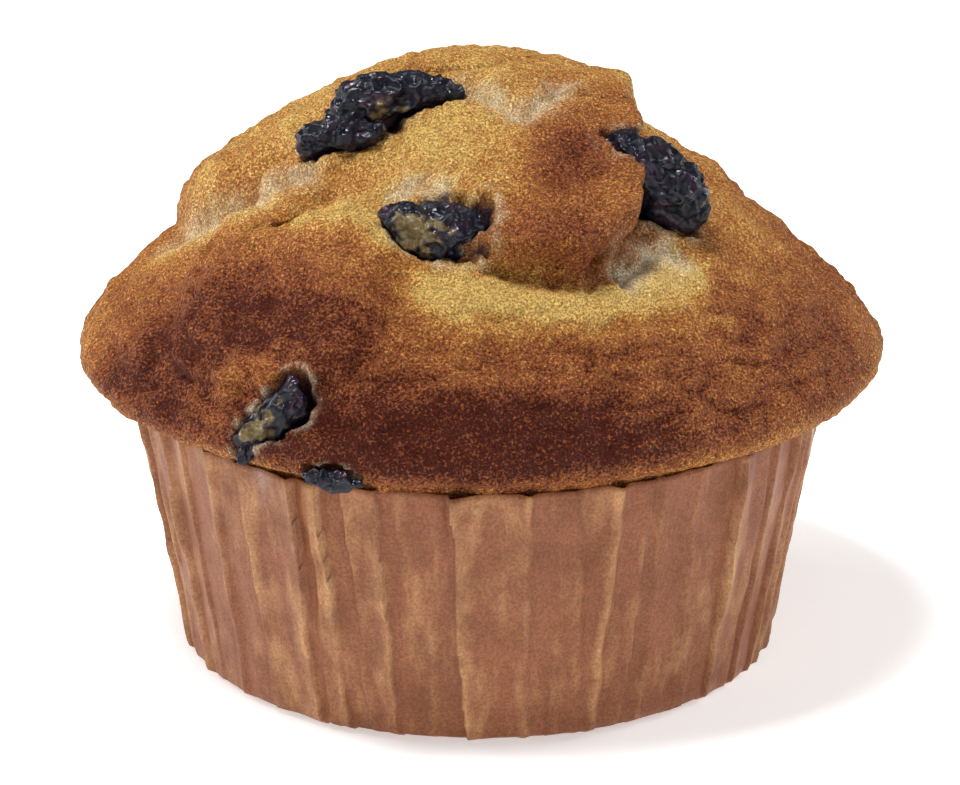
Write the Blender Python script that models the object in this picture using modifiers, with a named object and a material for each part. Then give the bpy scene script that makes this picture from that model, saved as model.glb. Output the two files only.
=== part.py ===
"""A blueberry muffin in its pleated paper case.

The crown is a square grid laid out as a disc, wrapped over the dome and under the lip, and raised by
a few lobes that the batter pushed up as it broke through the first crust. Burst blueberries sit in
sockets cut into it, and the part below the lip stands in a thin pleated paper cup.

Metres, +Z up, the origin under the middle of the muffin at the foot of the paper case.
"""

import math
import random

import bmesh
import bpy
from mathutils import Euler, Matrix, Vector, noise

MM = 0.001

# Driving dimensions
TOTAL_HEIGHT = 59.5 * MM
CROWN_HALF_WIDTH = 39.0 * MM
CROWN_HALF_DEPTH = 37.6 * MM
RIM_HEIGHT = 29.6 * MM
LIP_DROP = 2.4 * MM
LIP_ROLL = 4.4 * MM
LIP_SLANT = 0.3
CASE_FOOT_RADIUS = 28.8 * MM
CASE_MOUTH_RADIUS = 33.2 * MM
CASE_HEIGHT = RIM_HEIGHT - LIP_DROP - 0.5 * MM
FOOT_ROUNDING = 1.2 * MM
PAPER_THICKNESS = 0.25 * MM
PLEATS = 32
PLEAT_DEPTH_AT_FOOT = 0.55 * MM
PLEAT_DEPTH_AT_MOUTH = 1.3 * MM
GAP = 0.3 * MM

# The dome is z = rise * (1 - t ** DOME_POWER) ** DOME_ROOT, with t the share of the way out to the rim
DOME_POWER = 1.35
DOME_ROOT = 0.78
DOME_RISE = TOTAL_HEIGHT - RIM_HEIGHT - 2.2 * MM

# The grid's shares of the way out where the dome ends at the rim and the lip's roll ends under it
DOME_SHARE = 30 / 36
ROLL_SHARE = 34 / 36

# The lobes' outlines are ovals squared off a little: 2 would be a true ellipse
LOBE_SQUARENESS = 2.6

# Mesh fineness
CROWN_CELLS = 36
CASE_RINGS = 2
BERRY_SUBDIVISIONS = 3


class Lobe:
    """A raised patch of crust with an oval outline: its middle, half sizes, turn, rise and edge width."""

    def __init__(self, x, y, half_x, half_y, turn, rise, edge, lean=0.0, lean_towards=0.0):
        self.middle = Vector((x, y)) * MM
        self.half = Vector((half_x, half_y)) * MM
        self.turn = math.radians(turn)
        self.rise = rise * MM
        self.edge = edge * MM
        self.lean = lean
        self.lean_towards = math.radians(lean_towards)

    def height(self, x, y):
        """How far this lobe lifts the dome at a point, falling from its rise to nothing over its edge."""
        across = x - self.middle.x
        along = y - self.middle.y
        u = (across * math.cos(self.turn) + along * math.sin(self.turn)) / self.half.x
        v = (along * math.cos(self.turn) - across * math.sin(self.turn)) / self.half.y
        out = (abs(u) ** LOBE_SQUARENESS + abs(v) ** LOBE_SQUARENESS) ** (1.0 / LOBE_SQUARENESS)
        inside = (1.0 - out) * min(self.half)
        towards = math.atan2(along, across) - self.lean_towards
        tilt = 1.0 + self.lean * math.cos(towards) * min(1.0, out)
        return self.rise * tilt * smooth_step(inside / self.edge)


# The lobes of the crown, in millimetres and degrees: the big cap leans out over the front right
LOBES = (
    Lobe(x=4.5, y=-9.5, half_x=14.0, half_y=15.5, turn=8, rise=3.0, edge=2.2, lean=0.9, lean_towards=10),
    Lobe(x=2.5, y=3.0, half_x=9.0, half_y=8.0, turn=15, rise=2.1, edge=2.6),
    Lobe(x=-17.0, y=7.0, half_x=14.0, half_y=13.0, turn=20, rise=2.0, edge=2.5),
    Lobe(x=-16.0, y=-19.0, half_x=11.5, half_y=10.0, turn=-35, rise=1.3, edge=3.5),
    Lobe(x=14.0, y=9.0, half_x=12.0, half_y=13.0, turn=20, rise=0.8, edge=3.0),
)


class Berry:
    """A burst blueberry: its name, middle, half sizes, turn about X, Y and Z, and its own lumpiness."""

    def __init__(self, name, middle, half, turn, seed):
        self.name = name
        self.middle = Vector(middle) * MM
        self.half = Vector(half) * MM
        self.turn = Euler([math.radians(angle) for angle in turn])
        self.seed = seed


BERRIES = (
    Berry("blueberry_top", (-6.6, -6.2, 56.3), (6.2, 3.8, 2.6), (-14, 4, -8), 1),
    Berry("blueberry_top_small", (-15.0, -8.5, 53.1), (3.8, 3.0, 2.2), (-15, -20, 15), 2),
    Berry("blueberry_right", (16.9, -10.2, 50.4), (4.6, 4.2, 3.6), (-30, 40, -20), 3),
    Berry("blueberry_front", (-3.6, -21.0, 47.2), (4.9, 3.8, 3.2), (-38, 0, 5), 4),
    Berry("blueberry_low_left", (-19.2, -29.3, 33.4), (2.9, 3.1, 5.0), (-20, 30, -30), 5),
    Berry("blueberry_under_lip", (-13.2, -34.0, 28.8), (3.0, 2.2, 1.4), (0, 8, -22), 6),
    Berry("blueberry_back_left", (-12.0, 25.0, 43.6), (4.4, 3.9, 3.1), (45, 0, 20), 7),
    Berry("blueberry_back_right", (14.5, 25.5, 42.2), (4.2, 3.6, 3.3), (45, 0, -30), 8),
    Berry("blueberry_back_low", (-2.0, 35.4, 33.0), (4.3, 2.6, 3.2), (10, 0, 8), 9),
)


def smooth_step(share):
    """0 below 0, 1 above 1 and smooth between."""
    share = max(0.0, min(1.0, share))
    return share * share * (3.0 - 2.0 * share)


def mix(a, b, share):
    return a + (b - a) * share


def clear_scene():
    for obj in list(bpy.data.objects):
        bpy.data.objects.remove(obj)


def collection_named(name):
    found = bpy.data.collections.new(name)
    bpy.context.scene.collection.children.link(found)
    return found


def material_of(name, colour, roughness):
    made = bpy.data.materials.new(name)
    made.use_nodes = True
    shader = made.node_tree.nodes["Principled BSDF"]
    shader.inputs["Base Color"].default_value = (*colour, 1.0)
    shader.inputs["Roughness"].default_value = roughness
    shader.inputs["Metallic"].default_value = 0.0
    return made


def object_from(shape, name, material, collection, smooth_below=40):
    """A finished bmesh as a named object, shaded smooth apart from edges sharper than this, in degrees."""
    mesh = bpy.data.meshes.new(name)
    bmesh.ops.recalc_face_normals(shape, faces=shape.faces)
    shape.to_mesh(mesh)
    shape.free()
    mesh.materials.append(material)
    mesh.shade_smooth()
    mesh.set_sharp_from_angle(angle=math.radians(smooth_below))
    made = bpy.data.objects.new(name, mesh)
    collection.objects.link(made)
    return made


def case_wall_radius(z):
    """The radius of the paper at the bottom of its pleats, at a height above the foot's rounding."""
    return mix(CASE_FOOT_RADIUS, CASE_MOUTH_RADIUS, z / CASE_HEIGHT)


def foot_rounding(inset, steps=2):
    """(radius, height) up the rounded edge of the foot, for a surface this far inside the paper's."""
    radius = FOOT_ROUNDING - inset
    middle = case_wall_radius(FOOT_ROUNDING) - FOOT_ROUNDING
    angles = [math.pi / 2 * step / steps for step in range(steps + 1)]
    return [(middle + radius * math.sin(a), FOOT_ROUNDING - radius * math.cos(a)) for a in angles]


def side_radius(z):
    """The muffin's own radius inside the paper."""
    return case_wall_radius(z) - PAPER_THICKNESS - GAP


def profile_point(share, angle):
    """(part of the way out, height) a share of the way from the crown's peak to the case's mouth.

    The dome runs out to the rim, the lip rolls under it as a quarter ellipse, rounder on the left,
    and a flat strip leads in to the side of the muffin.
    """
    mouth = side_radius(RIM_HEIGHT - LIP_DROP) / CROWN_HALF_WIDTH
    rolled = 1.0 - LIP_ROLL * (1.0 - LIP_SLANT * math.cos(angle)) / CROWN_HALF_WIDTH
    if share <= DOME_SHARE:
        even = share / DOME_SHARE
        out = mix(even, math.sin(even * math.pi / 2), 0.55)
        return out, RIM_HEIGHT + DOME_RISE * (1.0 - out**DOME_POWER) ** DOME_ROOT
    if share <= ROLL_SHARE:
        under = (share - DOME_SHARE) / (ROLL_SHARE - DOME_SHARE) * math.pi / 2
        return mix(rolled, 1.0, math.cos(under)), RIM_HEIGHT - LIP_DROP * math.sin(under)
    inward = (share - ROLL_SHARE) / (1.0 - ROLL_SHARE)
    return mix(rolled, mouth, inward), RIM_HEIGHT - LIP_DROP


def rim_swell(angle):
    """How much wider or narrower than the oval the rim is on this side, as it rose unevenly."""
    return 1.0 + 0.010 * math.sin(2 * angle + 0.6) + 0.006 * math.sin(3 * angle + 2.0)


def lobe_lift(x, y):
    """The lobes' rise at a point: the highest one wins, and creases lie where two meet."""
    wander = noise.noise_vector(Vector((x, y, 0.0)) / (9.0 * MM)) * 1.3 * MM
    heights = [lobe.height(x + wander.x, y + wander.y) for lobe in LOBES]
    return max(heights)


def berry_hollow(x, y, z):
    """How far the crust is pulled down beside the sunken berries."""
    depth = 0.0
    for berry in BERRIES:
        away = (Vector((x, y, z)) - berry.middle).length / max(berry.half)
        depth = max(depth, 1.0 * MM * (1.0 - smooth_step((away - 0.6) / 0.9)))
    return depth


def disc_place(u, v):
    """(share of the way out, angle) of a grid place, so that squares round the middle become circles."""
    if abs(u) >= abs(v):
        turn = 0.0 if u >= 0.0 else math.pi
        return abs(u), turn + math.pi / 4 * (v / u if u else 0.0)
    turn = math.pi / 2 if v > 0.0 else -math.pi / 2
    return abs(v), turn - math.pi / 4 * u / v


def crown_point(u, v):
    """A point of the crown from its place (-1 to 1 each way) on the square grid."""
    share, angle = disc_place(u, v)
    out, z = profile_point(share, angle)
    if z > RIM_HEIGHT - LIP_DROP:
        out *= mix(1.0, rim_swell(angle), smooth_step(out * 2.0 - 0.6))
    x = out * CROWN_HALF_WIDTH * math.cos(angle)
    y = out * CROWN_HALF_WIDTH * math.sin(angle)
    oval = mix(1.0, CROWN_HALF_DEPTH / CROWN_HALF_WIDTH, smooth_step((z - CASE_HEIGHT) / LIP_DROP))
    y *= oval
    top = smooth_step((z - RIM_HEIGHT) / (5.0 * MM))
    lumps = 0.5 * MM * noise.noise(Vector((x, y, z)) / (7.0 * MM))
    z += top * (lobe_lift(x, y) + lumps - berry_hollow(x, y, z))
    return Vector((x, y, z))


def body_shape():
    """The crown, and below the lip the side and the foot that stand in the paper."""
    shape = bmesh.new()
    bmesh.ops.create_grid(shape, x_segments=CROWN_CELLS, y_segments=CROWN_CELLS, size=1.0)
    rim = [edge for edge in shape.edges if edge.is_boundary]
    for vertex in shape.verts:
        vertex.co = crown_point(vertex.co.x, vertex.co.y)
    half_way = CASE_HEIGHT * 0.5
    for radius, z in [(side_radius(half_way), half_way), *reversed(foot_rounding(PAPER_THICKNESS + GAP))]:
        ring = bmesh.ops.extrude_edge_only(shape, edges=rim)["geom"]
        rim = [part for part in ring if isinstance(part, bmesh.types.BMEdge)]
        for vertex in (part for part in ring if isinstance(part, bmesh.types.BMVert)):
            angle = math.atan2(vertex.co.y, vertex.co.x)
            vertex.co = Vector((radius * math.cos(angle), radius * math.sin(angle), z))
    bmesh.ops.contextual_create(shape, geom=rim)
    bmesh.ops.triangulate(shape, faces=shape.faces)
    return shape


def pleat_depths():
    """Each pleat's share of the full depth: pressed flat in places, standing in others."""
    chance = random.Random(11)
    return [chance.uniform(0.45, 1.0) for _ in range(PLEATS)]


def case_shape():
    """The paper cup as an open surface: a flat foot and a wall that goes in and out with the pleats."""
    depths = pleat_depths()
    sides = 2 * PLEATS
    heights = [CASE_HEIGHT * step / CASE_RINGS for step in range(1, CASE_RINGS + 1)]
    rings = foot_rounding(0.0) + [(case_wall_radius(z), z) for z in heights]
    shape = bmesh.new()
    bmesh.ops.create_circle(shape, cap_ends=True, radius=1.0, segments=sides)
    rim = list(shape.edges)
    for level, (radius, z) in enumerate(rings):
        if level:
            ring = bmesh.ops.extrude_edge_only(shape, edges=rim)["geom"]
            rim = [part for part in ring if isinstance(part, bmesh.types.BMEdge)]
            moved = [part for part in ring if isinstance(part, bmesh.types.BMVert)]
        else:
            moved = list(shape.verts)
        depth = mix(PLEAT_DEPTH_AT_FOOT, PLEAT_DEPTH_AT_MOUTH, z / CASE_HEIGHT)
        for vertex in moved:
            angle = math.atan2(vertex.co.y, vertex.co.x)
            step = round(angle / (2 * math.pi) * sides) % sides
            out = depth * depths[step // 2] if step % 2 else 0.0
            angle = 2 * math.pi * step / sides
            place = Vector((math.cos(angle), math.sin(angle), 0.0)) * (radius + out)
            vertex.co = place + Vector((0.0, 0.0, z))
    return shape


def berry_shape(berry, grown=0.0):
    """A collapsed berry: a ball pressed oval, with dents and folds in its skin, grown by a clearance."""
    shape = bmesh.new()
    bmesh.ops.create_icosphere(shape, subdivisions=BERRY_SUBDIVISIONS, radius=1.0)
    shift = Vector((berry.seed * 7.3, berry.seed * 3.1, berry.seed * 5.7))
    for vertex in shape.verts:
        out = vertex.co.normalized()
        dent = 1.0 + 0.16 * noise.noise(out * 1.7 + shift) + 0.07 * noise.noise(out * 4.0 + shift)
        place = Vector([axis * half for axis, half in zip(out, berry.half)]) * dent
        vertex.co = place + place.normalized() * grown
    turned = Matrix.Translation(berry.middle) @ berry.turn.to_matrix().to_4x4()
    bmesh.ops.transform(shape, matrix=turned, verts=shape.verts)
    return shape


def cut_socket(body, berry, material, cutters):
    """Cuts the berry's place into the crust, with a clearance all round."""
    cutter = object_from(berry_shape(berry, GAP), berry.name + "_socket", material, cutters)
    cutter.hide_render = True
    cutter.display_type = "WIRE"
    cut = body.modifiers.new(berry.name, "BOOLEAN")
    cut.operation = "DIFFERENCE"
    cut.object = cutter


def stand_at_origin(objects):
    """Moves the whole muffin so that its box stands centred on the origin."""
    corners = [vertex.co for made in objects for vertex in made.data.vertices]
    low = Vector([min(corner[axis] for corner in corners) for axis in range(3)])
    high = Vector([max(corner[axis] for corner in corners) for axis in range(3)])
    middle = (low + high) / 2
    shift = Matrix.Translation((-middle.x, -middle.y, -low.z))
    for made in objects:
        made.data.transform(shift)


def build():
    clear_scene()
    parts = collection_named("blueberry muffin")
    cutters = collection_named("cutters")
    crust = material_of("baked_crust", (0.42, 0.17, 0.05), 0.75)
    paper = material_of("greaseproof_paper", (0.42, 0.22, 0.11), 0.55)
    skin = material_of("berry_skin", (0.012, 0.008, 0.02), 0.3)

    body = object_from(body_shape(), "muffin", crust, parts)
    for berry in BERRIES:
        object_from(berry_shape(berry), berry.name, skin, parts)
        cut_socket(body, berry, skin, cutters)

    case = object_from(case_shape(), "paper_case", paper, parts, smooth_below=20)
    wall = case.modifiers.new("paper", "SOLIDIFY")
    wall.thickness = PAPER_THICKNESS
    wall.offset = -1.0
    wall.use_even_offset = False
    stand_at_origin([*parts.objects, *cutters.objects])


build()
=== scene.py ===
"""The looks of a blueberry muffin in its paper case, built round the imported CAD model.

The crown is a fine grid wrapped over the dome and under the lip, raised by lobes, cut by creases and
crags, and hollowed round its burst blueberries. The paper case is a thin wall with uneven pressed
pleats. The muffin's own shape is worked out in millimetres and made metres at the end.
"""

import math
import random

import bmesh
import bpy
import numpy as np
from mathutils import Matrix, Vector, noise


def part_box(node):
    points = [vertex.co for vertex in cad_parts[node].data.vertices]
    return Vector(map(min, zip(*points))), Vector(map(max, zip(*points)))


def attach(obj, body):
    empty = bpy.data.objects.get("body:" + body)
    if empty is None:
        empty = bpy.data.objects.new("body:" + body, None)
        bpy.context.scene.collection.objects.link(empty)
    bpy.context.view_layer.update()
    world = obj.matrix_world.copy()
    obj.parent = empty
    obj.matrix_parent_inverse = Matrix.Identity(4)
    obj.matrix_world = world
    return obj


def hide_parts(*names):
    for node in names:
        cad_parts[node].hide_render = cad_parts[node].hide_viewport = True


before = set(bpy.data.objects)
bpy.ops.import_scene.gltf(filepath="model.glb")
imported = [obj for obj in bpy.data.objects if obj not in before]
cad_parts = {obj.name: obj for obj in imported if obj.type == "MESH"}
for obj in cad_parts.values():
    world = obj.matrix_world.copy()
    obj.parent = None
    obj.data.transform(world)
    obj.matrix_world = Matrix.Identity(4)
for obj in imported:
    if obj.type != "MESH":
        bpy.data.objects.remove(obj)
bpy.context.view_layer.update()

bl_info = {
    "name": "Blueberry Muffin",
    "version": (1, 0, 0),
    "blender": (4, 5, 0),
    "location": "3D Viewport > Sidebar > Muffin",
    "description": "A blueberry muffin with a cracked crown in a pleated paper case",
    "category": "Object",
}

MM = 0.001
BODY = "root"


# ---------------------------------------------------------------------------------------------
# Sizes from the frame
# ---------------------------------------------------------------------------------------------

MUFFIN_LOW, MUFFIN_HIGH = (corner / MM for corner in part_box("muffin"))
CASE_LOW, CASE_HIGH = (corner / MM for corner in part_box("paper_case"))
CROWN_HALF_WIDTH = (MUFFIN_HIGH.x - MUFFIN_LOW.x) / 2
CROWN_HALF_DEPTH = (MUFFIN_HIGH.y - MUFFIN_LOW.y) / 2
CASE_HEIGHT = CASE_HIGH.z
AXIS = np.array(((CASE_LOW.x + CASE_HIGH.x) / 2, (CASE_LOW.y + CASE_HIGH.y) / 2, 0.0))


# ---------------------------------------------------------------------------------------------
# The crown's form, in millimetres and degrees
# ---------------------------------------------------------------------------------------------

# From the peak to the lip's inner edge: (distance from the axis, height)
CROWN_OUTLINE = (
    (0.0, 56.6), (5.0, 56.0), (10.0, 54.2), (15.0, 51.4), (20.0, 48.0), (25.0, 44.2), (29.5, 40.5),
    (33.2, 37.2), (36.3, 34.1), (38.4, 31.6), (38.8, 30.2), (38.1, 29.0), (36.2, 28.3), (33.4, 27.5),
)
# Below the lip, down the side and under the foot: (inset from the paper, height)
SIDE_STATIONS = ((0.5, 25.5), (0.5, 13.0), (0.5, 2.0), (2.0, 0.7))


class Lobe:
    """A raised plate of crust: an oval in plan with its rise, edge width, lean and outward push."""

    def __init__(self, x, y, half_x, half_y, turn, rise, edge, lean=0.0, towards=0.0, push=0.0, square=2.6):
        self.middle = (x, y)
        self.half = (half_x, half_y)
        self.turn = math.radians(turn)
        self.rise = rise
        self.edge = edge
        self.lean = lean
        self.towards = math.radians(towards)
        self.push = push
        self.square = square

    def lift(self, x, y):
        """(rise, sideways push) at places in plan. The push is 0 but for a band just inside the edge."""
        across = x - self.middle[0]
        along = y - self.middle[1]
        u = (across * math.cos(self.turn) + along * math.sin(self.turn)) / self.half[0]
        v = (along * math.cos(self.turn) - across * math.sin(self.turn)) / self.half[1]
        out = (np.abs(u) ** self.square + np.abs(v) ** self.square) ** (1 / self.square)
        direction = np.arctan2(along, across)
        tilt = 1.0 + self.lean * np.cos(direction - self.towards) * np.minimum(1.0, out)
        inside = (1.0 - out) * min(self.half)
        rise = self.rise * tilt * smooth_step(inside / self.edge)
        band = smooth_step(inside / (0.6 * self.edge)) * (1.0 - smooth_step(inside / self.edge / 2.5 - 0.3))
        push = self.push * tilt * band
        return rise, np.stack([np.cos(direction) * push, np.sin(direction) * push], axis=1)


LOBES = (
    Lobe(3.2, -9.4, 10.2, 12.9, 4, 2.5, 1.1, 0.75, -10, push=0.9, square=3.4),
    Lobe(8.0, -0.8, 7.0, 7.6, -10, 3.1, 3.0, 0.5, -30, push=0.2, square=2.6),
    Lobe(1.6, 3.4, 8.6, 6.8, 12, 2.4, 2.2, 0.0, 0, push=0.3),
    Lobe(-15.8, 6.3, 14.2, 13.0, 22, 2.9, 4.4, 0.2, 160, push=0.2, square=2.3),
    Lobe(-18.0, -21.0, 11.0, 8.4, -24, 1.6, 2.2, 0.3, 30, push=0.4),
    Lobe(-19.0, -9.6, 12.0, 4.6, 33, 1.5, 2.0, 0.0, 0, push=0.1),
    Lobe(13.0, 8.0, 11.0, 11.0, 20, 0.5, 2.2, 0.3, 20),
    Lobe(-2.0, 22.0, 15.0, 9.5, -6, 1.7, 1.8, 0.2, 90, push=0.6),
    Lobe(19.5, 19.0, 8.5, 8.0, -40, 1.1, 2.0, 0.0, 0, push=0.4),
)


class MuffinSizes(bpy.types.PropertyGroup):
    """The sizes that give the muffin its character."""

    crown_cells: bpy.props.IntProperty(
        name="Crown cells", description="Cells along each side of the crown's grid",
        default=300, min=40, max=310)
    relief: bpy.props.FloatProperty(
        name="Crust relief", description="Height of the crust's lumps and pebbles, as a factor",
        default=1.0, min=0.0, max=3.0)
    pleats: bpy.props.IntProperty(
        name="Pleats", description="How many pleats go round the paper case", default=70, min=20, max=120)
    pleat_depth: bpy.props.FloatProperty(
        name="Pleat depth", description="How far a deep pleat stands out at the case's mouth",
        default=1.5 * MM, unit="LENGTH", subtype="DISTANCE")
    paper_thickness: bpy.props.FloatProperty(
        name="Paper thickness", description="Thickness of the greaseproof paper",
        default=0.1 * MM, unit="LENGTH", subtype="DISTANCE")


def colour_property(name, description, colour):
    return bpy.props.FloatVectorProperty(
        name=name, description=description, subtype="COLOR", size=3, min=0.0, max=1.0, default=colour)


class MuffinColours(bpy.types.PropertyGroup):
    """The muffin's colours, linear."""

    crumb: colour_property("Crumb", "Torn pale crumb in the cracks", (0.90, 0.82, 0.64))
    gold: colour_property("Gold", "The palest baked crust", (0.64, 0.43, 0.14))
    amber: colour_property("Amber", "Crust baked a little longer", (0.45, 0.195, 0.050))
    brown: colour_property("Brown", "Well baked crust", (0.25, 0.074, 0.026))
    # The darkest crust also serves as the painted shade low on the front of the crown.
    dark: colour_property("Dark", "The darkest crust, low on the rim", (0.064, 0.009, 0.004))
    berry: colour_property("Berry", "Burst berry skin", (0.003, 0.004, 0.010))
    juice: colour_property("Juice", "Purple berry juice in the crumb", (0.035, 0.012, 0.028))
    film: colour_property("Film", "Thin baked crumb over a berry", (0.20, 0.14, 0.055))
    paper: colour_property("Greased paper", "Paper pressed on the cake and browned", (0.25, 0.085, 0.034))
    # Paler paper in a standing pleat: partly paper clear of the fat, partly painted highlight on the fold's
    # proud edge.
    paper_fold_and_highlight: colour_property("Paper fold", "Paper standing clear in a pleat", (0.53, 0.285, 0.12))
    paper_dry: colour_property("Dry paper", "Paper that the fat hasn't reached", (0.78, 0.68, 0.60))


def sizes():
    return bpy.context.scene.muffin_sizes


def colours():
    return bpy.context.scene.muffin_colours


# ---------------------------------------------------------------------------------------------
# Helpers for fields of numbers over many points
# ---------------------------------------------------------------------------------------------


def smooth_step(share):
    share = np.clip(share, 0.0, 1.0)
    return share * share * (3.0 - 2.0 * share)


def mix(a, b, share):
    return a + (b - a) * share


def spot(points, middle, radius):
    """1 at the middle, falling to 0 about twice the radius away."""
    away = np.linalg.norm((points - np.array(middle)) / np.array(radius), axis=-1)
    return np.exp(-away * away)


def noise_at(points, size, seed=0.0, octaves=1, stretch=(1.0, 1.0, 1.0)):
    """Smooth noise from about -1 to 1, with lumps of this size, at each point."""
    scaled = points / (size * np.array(stretch)) + seed * 17.31
    if octaves == 1:
        return np.array([noise.noise(Vector(place)) for place in scaled])
    return np.array([noise.fractal(Vector(place), 0.8, 2.0, octaves) for place in scaled])


def curve_through(points, samples):
    """A smooth curve through a few points, sampled evenly along its length."""
    knots = np.array(points, float)
    padded = np.vstack([2 * knots[0] - knots[1], knots, 2 * knots[-1] - knots[-2]])
    steps = np.linspace(0.0, 1.0, 24, endpoint=False)[:, None]
    pieces = []
    for a, b, c, d in zip(padded, padded[1:], padded[2:], padded[3:]):
        bend = (2 * a - 5 * b + 4 * c - d) * steps**2 + (3 * b - a - 3 * c + d) * steps**3
        pieces.append(b + 0.5 * ((c - a) * steps + bend))
    line = np.vstack([*pieces, knots[-1:]])
    length = np.concatenate([[0.0], np.cumsum(np.linalg.norm(np.diff(line, axis=0), axis=1))])
    even = np.linspace(0.0, length[-1], samples)
    return np.stack([np.interp(even, length, line[:, axis]) for axis in range(knots.shape[1])], axis=1)


def path_field(x, y, path):
    """(distance from a path, signed with + on its left, and the share of the way along it)."""
    line = curve_through(path, 40)
    best = np.full(len(x), np.inf)
    signed = np.zeros(len(x))
    along = np.zeros(len(x))
    for step, (start, end) in enumerate(zip(line, line[1:])):
        run = end - start
        across_x = x - start[0]
        across_y = y - start[1]
        share = np.clip((across_x * run[0] + across_y * run[1]) / (run @ run), 0.0, 1.0)
        away = np.hypot(across_x - share * run[0], across_y - share * run[1])
        nearer = away < best
        best = np.where(nearer, away, best)
        side = np.sign(run[0] * across_y - run[1] * across_x)
        signed = np.where(nearer, side * away, signed)
        along = np.where(nearer, (step + share) / (len(line) - 1), along)
    return signed, along


def points_of(mesh):
    flat = np.empty(len(mesh.vertices) * 3, np.float32)
    mesh.vertices.foreach_get("co", flat)
    return flat.reshape(-1, 3).astype(float)


def set_points(mesh, points):
    mesh.vertices.foreach_set("co", np.ascontiguousarray(points, np.float32).ravel())
    mesh.update()


def write_attribute(mesh, name, values):
    """A number from 0 to 1 at each vertex, which the materials read by this name."""
    layer = mesh.attributes.new(name, "FLOAT", "POINT")
    layer.data.foreach_set("value", np.clip(values, 0.0, 1.0).astype(np.float32))


# ---------------------------------------------------------------------------------------------
# Making pieces
# ---------------------------------------------------------------------------------------------


def new_piece(shape, name):
    """A finished bmesh as an object at the origin, shaded smooth."""
    mesh = bpy.data.meshes.new(name)
    shape.to_mesh(mesh)
    shape.free()
    mesh.shade_smooth()
    piece = bpy.data.objects.new(name, mesh)
    bpy.context.scene.collection.objects.link(piece)
    return piece


def finish_piece(piece, node, material):
    """Gives the piece its material, hangs it on the body's empty and hides the CAD node it stands for."""
    piece.data.materials.append(material)
    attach(piece, BODY)
    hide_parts(node)


def edges_of(geometry):
    return [part for part in geometry if isinstance(part, bmesh.types.BMEdge)]


def verts_of(geometry):
    return [part for part in geometry if isinstance(part, bmesh.types.BMVert)]


# ---------------------------------------------------------------------------------------------
# The crown
# ---------------------------------------------------------------------------------------------

# Cracks where lobes tore apart: path in plan, depth, width, and how pale their torn crumb is
CREASES = (
    (((-31.5, 2.5), (-27.0, -3.0), (-22.5, -7.0), (-17.0, -8.6), (-13.5, -10.5)), 1.6, 1.1, 0.55),
    (((-21.6, -12.0), (-19.0, -13.6), (-16.0, -14.6), (-13.8, -14.6)), 0.8, 0.6, 0.0),
    (((-4.0, -3.6), (-0.6, -6.0), (2.6, -8.0), (5.2, -8.6), (6.6, -6.0), (7.4, -2.6)), 1.2, 0.8, 0.65),
    (((-8.6, -14.8), (-5.0, -15.6), (-1.8, -17.2)), 0.5, 0.7, 0.6),
    (((12.2, -21.2), (14.2, -19.4), (16.8, -16.8), (20.2, -14.2)), 1.3, 1.0, 1.0),
    (((0.8, -20.6), (1.8, -22.6), (4.6, -23.3), (8.6, -22.6), (12.0, -20.2), (13.6, -17.0)), 0.9, 0.7, 0.0),
    (((-31.4, -18.6), (-29.2, -21.4), (-27.4, -24.1)), 0.8, 0.7, 0.0),
    (((6.0, 9.5), (8.0, 13.5), (4.0, 18.0), (-4.0, 15.5)), 0.9, 1.1, 0.7),
    (((22.0, 9.0), (16.0, 15.5), (12.0, 22.0)), 0.9, 1.2, 0.5),
    (((-20.0, 18.0), (-14.0, 17.5), (-9.0, 14.0)), 0.9, 1.1, 0.6),
)

# Narrow bands baked paler (-) or darker (+), one of them painted shadow: path in plan, width and amount
BAKE_AND_SHADE_BANDS = (
    (((-9.0, -22.4), (-5.0, -24.2), (1.0, -24.8), (7.0, -24.9), (13.0, -22.6), (18.0, -18.6), (22.5, -13.0)),
     2.1, -0.62),
    (((-18.5, -14.3), (-13.5, -14.8), (-9.8, -17.2), (-8.6, -22.0)), 1.3, -0.42),
    (((-32.0, -1.0), (-27.0, -5.0), (-22.5, -9.0), (-17.0, -10.6)), 1.4, -0.30),
    # Painted shadow: darker along the cap's right and front edge, where the cap overhangs the crust below.
    (((16.4, 1.5), (15.8, -5.0), (14.6, -12.0), (11.5, -20.5), (6.0, -23.6), (1.5, -24.0)), 1.5, 0.22),
)

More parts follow.
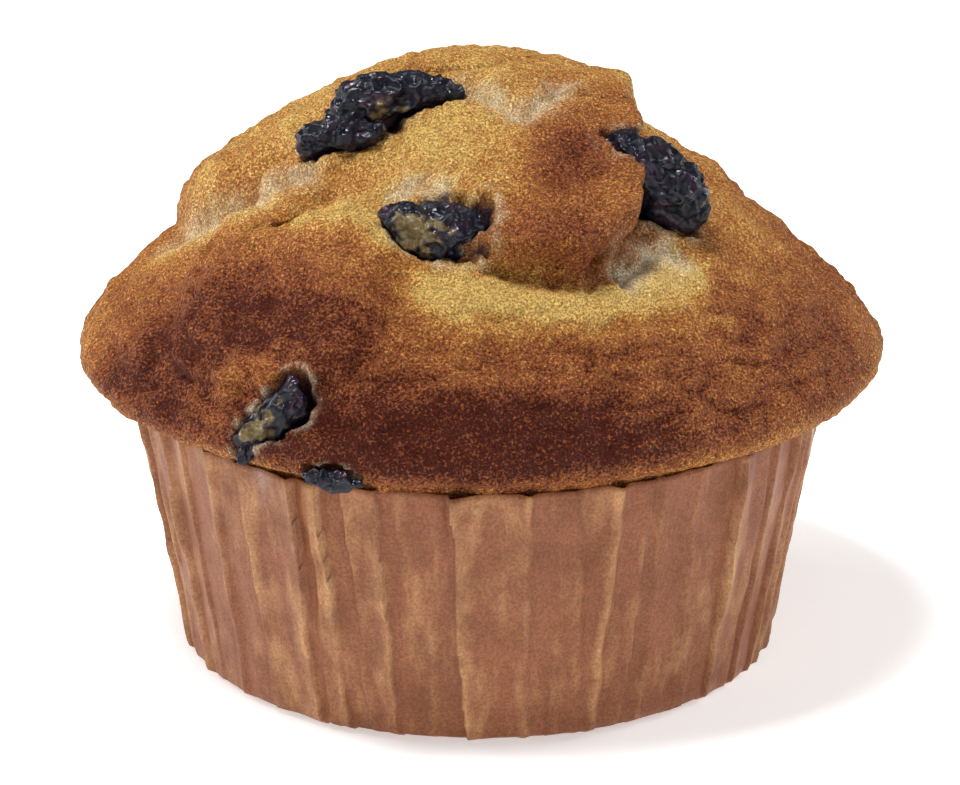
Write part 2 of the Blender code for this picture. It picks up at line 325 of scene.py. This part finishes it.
# Darker (+) or paler (-) spots: most are where the crust baked so, some are painted shade and painted light,
# marked below: middle, radius and amount
BAKE_AND_SHADE_SPOTS = (
    ((8.5, -13.5, 51.5), (5.0, 7.5, 6.5), 0.56),
    # Painted shade under the overhanging front of the cap.
    ((5.0, -21.0, 47.5), (6.0, 2.5, 3.0), 0.40),
    # Darker low on the front: partly bake, partly painted shade away from the overhead light.
    ((-1.0, -36.5, 31.5), (20.0, 9.0, 6.8), 0.30),
    ((-27.0, -26.0, 33.0), (9.0, 8.0, 3.0), 0.10),
    # Painted light: paler low on the left and right edges, lit by the white surroundings.
    ((-38.5, -4.0, 32.0), (4.0, 14.0, 7.0), -0.28),
    ((38.5, -4.0, 32.0), (4.0, 14.0, 7.0), -0.24),
    ((26.0, -26.0, 35.0), (9.0, 8.0, 6.0), -0.14),
    ((14.5, -18.0, 49.0), (2.0, 3.0, 3.0), -0.25),
    ((13.0, -3.5, 55.0), (3.5, 3.5, 3.5), 0.24),
    ((-3.0, -11.0, 54.5), (8.0, 6.0, 5.0), -0.10),
    ((-17.0, -23.0, 42.5), (8.0, 6.0, 7.0), 0.32),
    ((-27.0, -20.0, 38.0), (6.0, 7.0, 6.0), 0.22),
    ((8.0, -31.0, 39.0), (12.0, 5.0, 4.0), -0.12),
    ((-25.0, -26.5, 34.5), (4.0, 3.0, 3.0), -0.24),
    ((-19.5, -28.5, 37.0), (4.0, 2.5, 2.2), -0.34),
    # Painted light: paler along the left edge, lit by the white surroundings.
    ((-33.0, -2.0, 38.0), (5.0, 12.0, 5.0), -0.16),
    ((-27.0, 3.0, 44.0), (6.0, 6.0, 4.0), -0.10),
)


def crown_shape(cells):
    """A square grid with a few rings round it, which become the muffin's side and foot."""
    shape = bmesh.new()
    bmesh.ops.create_grid(shape, x_segments=cells, y_segments=cells, size=1.0)
    rim = [edge for edge in shape.edges if edge.is_boundary]
    for ring in range(1, len(SIDE_STATIONS) + 1):
        extruded = bmesh.ops.extrude_edge_only(shape, edges=rim)["geom"]
        rim = edges_of(extruded)
        bmesh.ops.scale(shape, vec=Vector((1, 1, 0)) * (1.0 + ring) / ring, verts=verts_of(extruded))
    bmesh.ops.contextual_create(shape, geom=rim)
    bmesh.ops.recalc_face_normals(shape, faces=shape.faces)
    return shape


def case_radius(z):
    """The paper's radius between its pleats, at a height."""
    return mix(28.8, 33.2, z / CASE_HEIGHT)


def disc_places(u, v):
    """(share of the way out, angle) of grid places, so that squares round the middle become circles."""
    share = np.maximum(np.abs(u), np.abs(v))
    safe = np.where(share == 0.0, 1.0, share)
    wide = np.abs(u) >= np.abs(v)
    wide_divisor = np.where(wide, np.where(u == 0, safe, u), 1)
    turn_wide = np.where(u >= 0, 0.0, math.pi) + math.pi / 4 * v / wide_divisor
    turn_tall = np.where(v > 0, 0.5, -0.5) * math.pi - math.pi / 4 * u / np.where(wide, 1, v)
    return share, np.where(wide, turn_wide, turn_tall)


def dome_points(u, v):
    """(points, outward normals, share) of the plain dome, lip and side before any relief."""
    share, angle = disc_places(u, v)
    line = curve_through(CROWN_OUTLINE, 400)
    tangent = np.gradient(line, axis=0)
    place = np.clip(share, 0.0, 1.0) * (len(line) - 1)
    steps = np.arange(len(line))
    radius = np.interp(place, steps, line[:, 0])
    z = np.interp(place, steps, line[:, 1])
    out = np.interp(place, steps, -tangent[:, 1])
    up = np.interp(place, steps, tangent[:, 0])
    for ring, (inset, height) in enumerate(SIDE_STATIONS, start=2):
        on_ring = np.abs(share - ring) < 0.01
        radius = np.where(on_ring, case_radius(height) - inset, radius)
        z = np.where(on_ring, height, z)
    tilt = smooth_step((z - 26.8) / 3.0)
    swell = 1.0 + tilt * smooth_step(radius / 20 - 0.5) * (
        0.008 * np.sin(2 * angle + 0.6) + 0.006 * np.sin(3 * angle + 2.0) + 0.003 * np.sin(7 * angle + 1.0))
    depth = mix(1.0, CROWN_HALF_DEPTH / CROWN_HALF_WIDTH, tilt)
    x = radius * np.cos(angle) * swell
    y = radius * np.sin(angle) * swell * depth
    z = z + 0.35 * smooth_step((radius - 30) / 8) * np.cos(angle - math.pi) * (share <= 1.0)
    length = np.hypot(out, up)
    normals = np.stack([np.cos(angle) * out, np.sin(angle) * out, up], axis=1) / length[:, None]
    return np.stack([x, y, z], axis=1), normals, share


def lobe_lift(x, y):
    """The highest lobe's (rise, sideways push) at each place in plan."""
    highest = np.zeros(len(x))
    pushed = np.zeros((len(x), 2))
    for lobe in LOBES:
        rise, push = lobe.lift(x, y)
        higher = rise > highest
        highest = np.where(higher, rise, highest)
        pushed = np.where(higher[:, None], push, pushed)
    return highest, pushed


class Berry:
    """A burst berry laid along a bent spine: (x, y, z, radius) from the middle of its CAD solid."""

    def __init__(self, node, spine):
        low, high = (np.array(corner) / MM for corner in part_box(node))
        self.node = node
        self.spine = curve_through(np.array(spine) + (*((low + high) / 2 - AXIS), 0.0), 13)

    def away(self, points):
        """Distance from the spine as a share of its radius there."""
        shares = [np.linalg.norm(points - knot[:3], axis=1) / knot[3] for knot in self.spine]
        return np.min(shares, axis=0)

    def wrap(self, out):
        """Unit ball points laid round the spine."""
        place = np.clip((out[:, 0] + 1.0) / 2.0, 0.0, 1.0) * (len(self.spine) - 1)
        steps = np.arange(len(self.spine))
        middle = np.stack([np.interp(place, steps, self.spine[:, axis]) for axis in range(3)], axis=1)
        radius = np.interp(place, steps, self.spine[:, 3])
        along = self.spine[-1, :3] - self.spine[0, :3]
        along /= np.linalg.norm(along)
        side = np.cross(along, (0.0, 0.0, 1.0))
        side /= np.linalg.norm(side)
        up = np.cross(side, along)
        blunt = np.sqrt(1.0 + out[:, :1] ** 2)
        turned = out[:, :1] * along * 0.8 + (out[:, 1:2] * side + out[:, 2:] * up) * blunt
        return middle + turned * radius[:, None] * 0.9, turned


def make_berries():
    """Every berry of the CAD model, with the spines chosen for the ones at the front."""
    spines = {
        "blueberry_top": (
            (4.4, 0.0, 0.6, 1.2), (0.4, 0.8, 0.8, 2.0), (-4.2, 0.6, -0.4, 3.0), (-6.6, -0.8, -2.4, 2.2)),
        "blueberry_top_small": ((5.2, 0.3, 1.1, 1.1), (2.6, 0.5, 0.7, 1.6), (-1.2, 1.3, -0.3, 1.8)),
        "blueberry_right": ((-4.6, -0.6, 2.6, 2.1), (-0.4, -0.6, 0.0, 3.7), (2.8, -1.0, -3.0, 2.4)),
        "blueberry_front": ((-5.0, 2.6, 1.6, 1.1), (-1.0, 1.6, 0.8, 2.7), (2.6, 1.2, 0.8, 2.8)),
        "blueberry_low_left": (
            (1.8, -0.6, 2.8, 1.6), (1.2, -0.8, 0.4, 2.1), (-1.8, -0.8, -2.0, 1.4), (-2.6, -1.4, -3.6, 1.0)),
        "blueberry_under_lip": ((-2.4, 0.2, 0.5, 0.5), (0.0, -0.9, 0.4, 1.0), (2.2, -1.4, 0.2, 0.5)),
    }
    plain = ((-2.2, 0.4, 0.2, 1.9), (0.2, -0.4, -0.4, 3.1), (2.4, 0.6, -1.2, 2.2))
    nodes = sorted(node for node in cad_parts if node.startswith("blueberry"))
    return [Berry(node, spines.get(node, plain)) for node in nodes]


def crown_relief(points, normals, share):
    """(height, sideways push, baked colour with painted shade, pale crumb, berry stain) at each point of the
    crown.
    """
    top = smooth_step((points[:, 2] - 29.0) / 5.0)
    warp = np.stack([noise_at(points, 4.0, seed, 3) for seed in (1, 2)], axis=1)
    x = points[:, 0] + 0.8 * warp[:, 0]
    y = points[:, 1] + 0.8 * warp[:, 1]
    rise, push = lobe_lift(x, y)
    height = top * rise
    push *= top[:, None]
    crumb = np.zeros(len(x))
    for path, depth, width, pale in CREASES:
        signed, along = path_field(x, y, path)
        taper = smooth_step(along / 0.15) * smooth_step((1.0 - along) / 0.15)
        height -= depth * np.exp(-((signed / width) ** 2)) * taper
        crumb = np.maximum(crumb, pale * np.exp(-((signed / (1.4 * width)) ** 2)) * taper)
    stain = np.zeros(len(x))
    torn = noise_at(points, 1.5, 10, 3)
    for berry in make_berries():
        away = berry.away(points + normals * height[:, None])
        ragged = away + 0.22 * torn
        height -= 1.8 * (1.0 - smooth_step((ragged - 0.80) / 0.45))
        stain = np.maximum(stain, 1.0 - smooth_step((ragged - 0.98) / 0.26))
        collar = np.exp(-(((ragged - 1.30) / 0.20) ** 2))
        crumb = np.maximum(crumb, 0.5 * collar * smooth_step(0.2 + 1.8 * warp[:, 1] + 1.2 * torn))
    relief = sizes().relief
    lumps = 0.50 * noise_at(points, 8.0, 3, 2) + 0.45 * noise_at(points, 2.8, 4, 3)
    pebbles = 0.13 * noise_at(points, 0.95, 5, 3)
    wrinkles = np.maximum(0.0, 1.0 - 3.0 * np.abs(noise_at(points, 2.2, 6, 2, stretch=(3.2, 3.2, 1.0))))
    skirt = smooth_step((46 - points[:, 2]) / 5) * smooth_step((points[:, 2] - 29) / 4)
    front = smooth_step((-points[:, 1] - 5) / 15)
    height += (lumps * mix(0.35, 1.0, top) + pebbles - 0.45 * wrinkles * skirt * front) * relief
    height *= share <= 1.0
    # Darker lower on the crown: partly the crust's bake, partly painted shade below the overhead light.
    bake_and_shade = mix(0.78, 0.22, smooth_step((points[:, 2] - 32.0) / 21.0) ** 0.8)
    for middle, radius, amount in BAKE_AND_SHADE_SPOTS:
        bake_and_shade += amount * spot(points, middle, radius)
    for path, width, amount in BAKE_AND_SHADE_BANDS:
        signed, along = path_field(x, y, path)
        taper = smooth_step(along / 0.15) * smooth_step((1.0 - along) / 0.15)
        bake_and_shade += amount * np.exp(-((signed / width) ** 2)) * taper
    bake_and_shade += 0.10 * noise_at(points, 6.0, 7, 3) - 0.14 * lumps + 0.16 * wrinkles * skirt * front
    bake_and_shade -= 0.30 * smooth_step((31.2 - points[:, 2]) / 2.4)
    crumb *= np.clip(0.75 + 0.8 * noise_at(points, 1.4, 8, 2), 0, 1)
    stain *= np.clip(0.8 + 1.2 * noise_at(points, 1.2, 9, 2), 0, 1)
    return height, push, bake_and_shade, crumb, stain


def build_crown():
    piece = new_piece(crown_shape(sizes().crown_cells), "crown")
    mesh = piece.data
    flat = points_of(mesh)
    points, normals, share = dome_points(flat[:, 0], flat[:, 1])
    height, push, bake_and_shade, crumb, stain = crown_relief(points, normals, share)
    points += normals * height[:, None] + AXIS
    points[:, :2] += push
    set_points(mesh, points * MM)
    write_attribute(mesh, "bake_and_shade", bake_and_shade)
    write_attribute(mesh, "crumb", crumb)
    write_attribute(mesh, "stain", stain)
    finish_piece(piece, "muffin", crust_material())


# ---------------------------------------------------------------------------------------------
# The berries
# ---------------------------------------------------------------------------------------------

# Where a thin film of baked crumb covers a berry: middle and radius
FILMS = (
    ((-6.2, -22.4, 47.6), (2.6, 3.4, 3.0)),
    ((-20.6, -33.0, 33.0), (2.2, 3.6, 2.2)),
    ((-7.6, -9.4, 55.6), (2.4, 2.0, 1.6)),
)


def build_berry(berry, seed, material):
    """A burst, collapsed berry with a folded skin."""
    shape = bmesh.new()
    bmesh.ops.create_icosphere(shape, subdivisions=6, radius=1.0)
    piece = new_piece(shape, berry.node.replace("blueberry", "berry"))
    out = points_of(piece.data)
    out /= np.linalg.norm(out, axis=1)[:, None]
    points, outward = berry.wrap(out)
    folds = 0.5 - np.abs(noise_at(points, 2.2, seed, 2)) * 1.8
    creases = 0.5 - np.abs(noise_at(points, 0.9, seed + 1, 2)) * 1.6
    pits = noise_at(points, 0.45, seed + 2, 2)
    points += outward * (0.60 * folds + 0.14 * creases + 0.08 * pits)[:, None]
    points[:, 2] -= 0.3
    film = sum(spot(points, place, radius) for place, radius in FILMS)
    film = smooth_step((film + 0.6 * noise_at(points, 1.1, 3, 3) - 0.4) / 0.25)
    set_points(piece.data, (points + AXIS) * MM)
    write_attribute(piece.data, "film", film)
    finish_piece(piece, berry.node, material)


# ---------------------------------------------------------------------------------------------
# The paper case
# ---------------------------------------------------------------------------------------------

CASE_SEGMENTS = 900
CASE_RINGS = 40
FOOT_ROUNDING = 1.2


def pleat_pattern(count):
    """Each fold's angle, slant, share of the full depth, and whether it steps (-1 or 1) or swells (0)."""
    chance = random.Random(5)
    steps = [chance.uniform(0.4, 1.6) for _ in range(count)]
    whole = sum(steps)
    angle = 0.0
    folds = []
    for step in steps:
        angle += step / whole * 2 * math.pi
        facing = chance.choice((-1, 0, 1))
        folds.append((angle, chance.uniform(-0.05, 0.05), chance.uniform(0.2, 1.0) ** 1.5, facing))
    return folds


def pleat_height(angle, level, wander):
    """How far the paper stands out of its plain wall, as a share of a full pleat."""
    standing = np.zeros(len(angle))
    for place, slant, share, facing in pleat_pattern(sizes().pleats):
        away = (angle + wander - place - slant * (level - 0.5) + math.pi) % (2 * math.pi) - math.pi
        if facing:
            away *= facing
            fold = np.clip(1.0 + away / 0.10, 0.0, 1.0) ** 1.3 * (away < 0)
        else:
            fold = np.clip(1.0 - np.abs(away) / 0.030, 0.0, 1.0)
            fold = mix(fold, smooth_step(fold), 0.6)
        standing = np.maximum(standing, share * fold)
    return standing


def case_shape(segments, rings):
    """A round sheet with a wall of even rings: the wall's height is 1 and its radius 1."""
    shape = bmesh.new()
    bmesh.ops.create_circle(shape, cap_ends=True, radius=1.0, segments=segments)
    bmesh.ops.inset_individual(shape, faces=shape.faces[:], thickness=0.12)
    rim = [edge for edge in shape.edges if edge.is_boundary]
    for ring in range(rings):
        extruded = bmesh.ops.extrude_edge_only(shape, edges=rim)["geom"]
        rim = edges_of(extruded)
        bmesh.ops.translate(shape, vec=Vector((0, 0, 1.0 / rings)), verts=verts_of(extruded))
    bmesh.ops.recalc_face_normals(shape, faces=shape.faces)
    return shape


def build_case():
    piece = new_piece(case_shape(CASE_SEGMENTS, CASE_RINGS), "paper_cup")
    flat = points_of(piece.data)
    level = flat[:, 2]
    share = np.hypot(flat[:, 0], flat[:, 1])
    angle = np.arctan2(flat[:, 1], flat[:, 0])
    z = CASE_HEIGHT * level
    around = np.stack([np.cos(angle) * 30, np.sin(angle) * 30, z], axis=1)
    standing = pleat_height(angle, level, 0.014 * noise_at(around, 7.0, 2, 2))
    standing *= np.clip(0.8 + 0.5 * noise_at(around, 6.0, 6, 2), 0.2, 1.2)
    radius = case_radius(z) + standing * mix(0.5, 1.0, level) * sizes().pleat_depth / MM
    radius += 0.16 * noise_at(around, 4.0, 4, 3, stretch=(1.0, 1.0, 2.5)) + 0.30 * noise_at(around, 14.0, 5)
    corner = np.clip(1.0 - z / FOOT_ROUNDING, 0.0, 1.0)
    radius -= FOOT_ROUNDING * (1.0 - np.sqrt(1.0 - corner**2))
    radius *= np.minimum(share, 1.0)
    points = np.stack([np.cos(angle) * radius, np.sin(angle) * radius, z], axis=1)
    set_points(piece.data, (points + AXIS) * MM)
    write_attribute(piece.data, "fold", standing)
    write_attribute(piece.data, "dry", dry_paper(points))
    thick = piece.modifiers.new("paper", "SOLIDIFY")
    thick.thickness = sizes().paper_thickness
    thick.offset = -1.0
    finish_piece(piece, "paper_case", paper_material())


def dry_paper(points):
    """Where the fat never reached the paper: patches at the mouth."""
    patches = sum(spot(points, middle, radius) for middle, radius in (
        ((-20.5, -27.0, 25.0), (0.9, 0.9, 2.6)), ((32.5, -6.0, 24.5), (1.4, 1.6, 3.0)),
        ((24.0, 24.0, 25.0), (1.4, 1.4, 2.4)), ((-28.0, 18.0, 25.0), (1.0, 1.4, 3.0))))
    return 0.55 * patches * np.clip(0.8 + noise_at(points, 1.2, 3, 2, stretch=(1.0, 1.0, 5.0)), 0, 1)


# ---------------------------------------------------------------------------------------------
# Materials
# ---------------------------------------------------------------------------------------------


class Nodes:
    """Short calls for building a material's node tree."""

    def __init__(self, name):
        self.material = bpy.data.materials.new(name)
        self.material.use_nodes = True
        self.tree = self.material.node_tree
        self.shader = self.tree.nodes["Principled BSDF"]

    def link(self, source, target):
        self.tree.links.new(source, target)

    def new(self, kind, inputs=None, **settings):
        node = self.tree.nodes.new(kind)
        for name, value in settings.items():
            setattr(node, name, value)
        for name, value in (inputs or {}).items():
            if isinstance(value, bpy.types.NodeSocket):
                self.link(value, node.inputs[name])
            else:
                node.inputs[name].default_value = value
        return node

    def attribute(self, name):
        return self.new("ShaderNodeAttribute", attribute_name=name).outputs["Fac"]

    def place(self):
        return self.new("ShaderNodeTexCoord").outputs["Object"]

    def noise(self, size, detail=2.0, roughness=0.5, stretch=None):
        """Noise with lumps of this size in metres, as its value."""
        place = self.place()
        if stretch:
            place = self.new("ShaderNodeMapping", {"Vector": place, "Scale": stretch}).outputs["Vector"]
        made = self.new("ShaderNodeTexNoise", {
            "Vector": place, "Scale": 1.0 / size, "Detail": detail, "Roughness": roughness})
        return made.outputs["Fac"]

    def ramp(self, value, low, high, to_low=0.0, to_high=1.0):
        made = self.new("ShaderNodeMapRange", {
            "Value": value, "From Min": low, "From Max": high, "To Min": to_low, "To Max": to_high})
        return made.outputs["Result"]

    def math(self, operation, a, b):
        made = self.new("ShaderNodeMath", operation=operation)
        for socket, value in zip(made.inputs, (a, b)):
            if isinstance(value, bpy.types.NodeSocket):
                self.link(value, socket)
            else:
                socket.default_value = value
        return made.outputs["Value"]

    def mix(self, share, a, b, blend="MIX"):
        made = self.new("ShaderNodeMix", data_type="RGBA", blend_type=blend)
        for socket, value in zip((made.inputs[0], made.inputs[6], made.inputs[7]), (share, a, b)):
            if isinstance(value, bpy.types.NodeSocket):
                self.link(value, socket)
            else:
                is_colour = hasattr(value, "__len__") and len(value) == 3
                socket.default_value = (*value, 1.0) if is_colour else value
        return made.outputs[2]

    def colours(self, value, stops):
        """A colour ramp through (position, colour) stops."""
        made = self.new("ShaderNodeValToRGB", {"Fac": value})
        made.color_ramp.interpolation = "EASE"
        while len(made.color_ramp.elements) < len(stops):
            made.color_ramp.elements.new(0.5)
        for element, (position, colour) in zip(made.color_ramp.elements, stops):
            element.position = position
            element.color = (*colour, 1.0)
        return made.outputs["Color"]

    def bump(self, height, distance, strength=1.0, normal=None):
        inputs = {"Height": height, "Distance": distance, "Strength": strength}
        if normal:
            inputs["Normal"] = normal
        return self.new("ShaderNodeBump", inputs).outputs["Normal"]

    def finish(self, **sockets):
        """Sets or links the Principled BSDF's own sockets, named with _ for a space."""
        for name, value in sockets.items():
            socket = self.shader.inputs[name.replace("_", " ")]
            if isinstance(value, bpy.types.NodeSocket):
                self.link(value, socket)
            else:
                socket.default_value = value
        return self.material


def crust_material():
    """Baked crust: gold to dark brown by how long it baked and by painted shade, with sugary grain, pale
    crumb and berry juice.
    """
    nodes = Nodes("baked_crust")
    tint = colours()
    grain = nodes.noise(0.28 * MM, 2.0, 0.6)
    blotch = nodes.noise(2.2 * MM, 3.0, 0.6)
    bake_and_shade = nodes.math("ADD", nodes.attribute("bake_and_shade"), nodes.ramp(grain, 0.3, 0.7, 0.30, -0.30))
    bake_and_shade = nodes.math("ADD", bake_and_shade, nodes.ramp(blotch, 0.3, 0.7, -0.07, 0.07))
    crust = nodes.colours(bake_and_shade, (
        (0.05, tint.gold), (0.35, tint.amber), (0.68, tint.brown), (1.0, tint.dark)))
    speck = nodes.ramp(nodes.noise(0.20 * MM, 3.0, 0.75), 0.42, 0.70)
    pale = nodes.mix(nodes.attribute("crumb"), crust, tint.crumb)
    speck_tint = nodes.mix(nodes.attribute("crumb"), nodes.mix(speck, (0.70, 0.61, 0.50), (3.5, 3.5, 3.3)),
                           nodes.mix(speck, (0.60, 0.52, 0.38), (1.5, 1.5, 1.5)))
    grained = nodes.mix(1.0, pale, speck_tint, "MULTIPLY")
    stained = nodes.mix(nodes.attribute("stain"), grained, tint.juice)
    bumps = nodes.bump(nodes.noise(1.1 * MM, 4.0, 0.65), 0.8 * MM, 1.0)
    bumps = nodes.bump(speck_tint, 0.09 * MM, 1.0, bumps)
    gloss = nodes.ramp(nodes.noise(0.22 * MM, 1.0), 0.35, 0.7, 0.75, 0.45)
    return nodes.finish(Base_Color=stained, Roughness=gloss, Normal=bumps, Specular_IOR_Level=0.15)


def berry_material():
    """Wet collapsed berry skin with uneven gloss, purple blotches and films of crumb."""
    nodes = Nodes("berry_skin")
    tint = colours()
    blotch = nodes.noise(1.6 * MM, 3.0, 0.65)
    skin = nodes.mix(nodes.ramp(blotch, 0.52, 0.72), tint.berry, tint.juice)
    bloom = nodes.ramp(nodes.noise(1.5 * MM, 5.0, 0.7), 0.56, 0.68, 0.0, 0.5)
    skin = nodes.mix(bloom, skin, (0.06, 0.05, 0.08))
    specks = nodes.ramp(nodes.noise(0.35 * MM, 2.0, 0.6), 0.4, 0.65)
    film = nodes.mix(specks, [c * 0.45 for c in tint.film], tint.film)
    colour = nodes.mix(nodes.attribute("film"), skin, film)
    bumps = nodes.bump(nodes.noise(0.7 * MM, 2.0, 0.5), 0.12 * MM, 0.5)
    gloss = nodes.ramp(nodes.noise(0.8 * MM, 3.0, 0.6), 0.42, 0.62, 0.52, 0.14)
    return nodes.finish(Base_Color=colour, Roughness=gloss, Normal=bumps, Specular_IOR_Level=0.3)


def paper_material():
    """Greaseproof paper, browned where it touched the cake and paler where a fold stands clear; the paler
    folds are also painted highlight on their proud edges.
    """
    nodes = Nodes("greaseproof_paper")
    tint = colours()
    streaks = nodes.noise(1.6 * MM, 3.0, 0.6, stretch=(1.0, 1.0, 0.16))
    mottle = nodes.noise(3.5 * MM, 4.0, 0.6)
    patches = nodes.noise(7.0 * MM, 4.0, 0.65, stretch=(1.0, 1.0, 0.45))
    fold = nodes.math("ADD", nodes.attribute("fold"), nodes.ramp(streaks, 0.3, 0.7, -0.35, 0.35))
    fold = nodes.math("ADD", fold, nodes.ramp(patches, 0.35, 0.65, -0.35, 0.45))
    # Folds standing out are paler: partly paper clear of the fat, partly painted highlight on their proud
    # edges.
    paper = nodes.mix(nodes.ramp(fold, 0.1, 1.35), tint.paper, tint.paper_fold_and_highlight)
    paper = nodes.mix(nodes.ramp(mottle, 0.42, 0.7, 0.0, 0.6), paper, [c * 0.6 for c in tint.paper])
    paper = nodes.mix(nodes.attribute("dry"), paper, tint.paper_dry)
    fibres = nodes.noise(0.25 * MM, 2.0, 0.6)
    fibre = nodes.mix(nodes.ramp(fibres, 0.35, 0.65), (0.78, 0.74, 0.70), (1.25, 1.25, 1.25))
    paper = nodes.mix(1.0, paper, fibre, "MULTIPLY")
    bumps = nodes.bump(fibres, 0.08 * MM, 0.6)
    bumps = nodes.bump(streaks, 0.25 * MM, 0.5, bumps)
    gloss = nodes.ramp(mottle, 0.3, 0.7, 0.42, 0.62)
    return nodes.finish(Base_Color=paper, Roughness=gloss, Normal=bumps, Specular_IOR_Level=0.3)


def floor_material():
    nodes = Nodes("studio_floor")
    speck = nodes.noise(0.4, 2.0)
    return nodes.finish(
        Base_Color=nodes.mix(speck, (0.93, 0.93, 0.93), (0.95, 0.95, 0.95)), Roughness=0.9,
        Emission_Color=(1.0, 1.0, 1.0, 1.0), Emission_Strength=0.45)


# ---------------------------------------------------------------------------------------------
# Camera, lights and floor
# ---------------------------------------------------------------------------------------------

CAMERA_ELEVATION = math.radians(20)
CAMERA_DISTANCE = 0.45
CAMERA_LENS = 172
CAMERA_TARGET = Vector((-0.2, 0.0, 24.5)) * MM

# name: place, size and power in watts
LAMPS = {
    "overhead": ((-0.12, -0.08, 0.55), 0.16, 3.2),
    "left_back": ((-0.50, 0.16, 0.26), 0.30, 1.7),
    "right_back": ((0.50, 0.16, 0.26), 0.30, 1.6),
    "front_fill": ((-0.05, -0.60, 0.15), 0.40, 0.7),
}


def look_at(thing, target):
    thing.rotation_euler = (target - thing.location).to_track_quat("-Z", "Y").to_euler()


def build_camera():
    data = bpy.data.cameras.new("camera")
    data.lens = CAMERA_LENS
    data.sensor_width = 36
    data.clip_start = 0.01
    camera = bpy.data.objects.new("camera", data)
    bpy.context.scene.collection.objects.link(camera)
    back = Vector((0, -math.cos(CAMERA_ELEVATION), math.sin(CAMERA_ELEVATION)))
    camera.location = CAMERA_TARGET + CAMERA_DISTANCE * back
    look_at(camera, CAMERA_TARGET)
    bpy.context.scene.camera = camera


def build_lamps():
    for name, (place, size, power) in LAMPS.items():
        data = bpy.data.lights.new(name, "AREA")
        data.energy = power
        data.size = size
        lamp = bpy.data.objects.new(name, data)
        lamp.location = place
        bpy.context.scene.collection.objects.link(lamp)
        look_at(lamp, Vector((0, 0, 0.03)))


def build_floor():
    shape = bmesh.new()
    bmesh.ops.create_grid(shape, x_segments=2, y_segments=2, size=2.0)
    floor = new_piece(shape, "floor")
    floor.data.materials.append(floor_material())


def build_world():
    world = bpy.data.worlds.new("studio")
    world.use_nodes = True
    background = world.node_tree.nodes["Background"]
    background.inputs["Color"].default_value = (1, 1, 1, 1)
    background.inputs["Strength"].default_value = 0.13
    bpy.context.scene.world = world
    bpy.context.scene.view_settings.view_transform = "Standard"


# ---------------------------------------------------------------------------------------------
# Operators and panel
# ---------------------------------------------------------------------------------------------


class MUFFIN_OT_stage(bpy.types.Operator):
    """Set up the camera, the lamps and the pale floor"""

    bl_idname = "muffin.stage"
    bl_label = "Stage"

    def execute(self, context):
        build_camera()
        build_lamps()
        build_floor()
        build_world()
        return {"FINISHED"}


class MUFFIN_OT_crown(bpy.types.Operator):
    """Build the cracked golden crown and the crumb below it"""

    bl_idname = "muffin.crown"
    bl_label = "Crown"

    def execute(self, context):
        build_crown()
        return {"FINISHED"}


class MUFFIN_OT_berries(bpy.types.Operator):
    """Build the burst blueberries in their hollows"""

    bl_idname = "muffin.berries"
    bl_label = "Blueberries"

    def execute(self, context):
        material = berry_material()
        for seed, berry in enumerate(make_berries()):
            build_berry(berry, seed * 3, material)
        return {"FINISHED"}


class MUFFIN_OT_paper_case(bpy.types.Operator):
    """Build the pleated paper case"""

    bl_idname = "muffin.paper_case"
    bl_label = "Paper case"

    def execute(self, context):
        build_case()
        return {"FINISHED"}


class MUFFIN_PT_sidebar(bpy.types.Panel):
    """Builds the muffin's pieces and lists its sizes and colours"""

    bl_label = "Muffin"
    bl_space_type = "VIEW_3D"
    bl_region_type = "UI"
    bl_category = "Muffin"

    def draw(self, context):
        for operator in OPERATORS:
            self.layout.operator(operator.bl_idname)
        for group in (context.scene.muffin_sizes, context.scene.muffin_colours):
            for name in group.__annotations__:
                self.layout.prop(group, name)


OPERATORS = (MUFFIN_OT_stage, MUFFIN_OT_crown, MUFFIN_OT_berries, MUFFIN_OT_paper_case)
CLASSES = (MuffinSizes, MuffinColours, *OPERATORS, MUFFIN_PT_sidebar)


def register():
    for made in CLASSES:
        bpy.utils.register_class(made)
    bpy.types.Scene.muffin_sizes = bpy.props.PointerProperty(type=MuffinSizes)
    bpy.types.Scene.muffin_colours = bpy.props.PointerProperty(type=MuffinColours)


def unregister():
    del bpy.types.Scene.muffin_colours
    del bpy.types.Scene.muffin_sizes
    for made in reversed(CLASSES):
        bpy.utils.unregister_class(made)


def main():
    register()
    bpy.ops.muffin.stage()
    bpy.ops.muffin.crown()
    bpy.ops.muffin.berries()
    bpy.ops.muffin.paper_case()


if __name__ == "__main__":
    main()
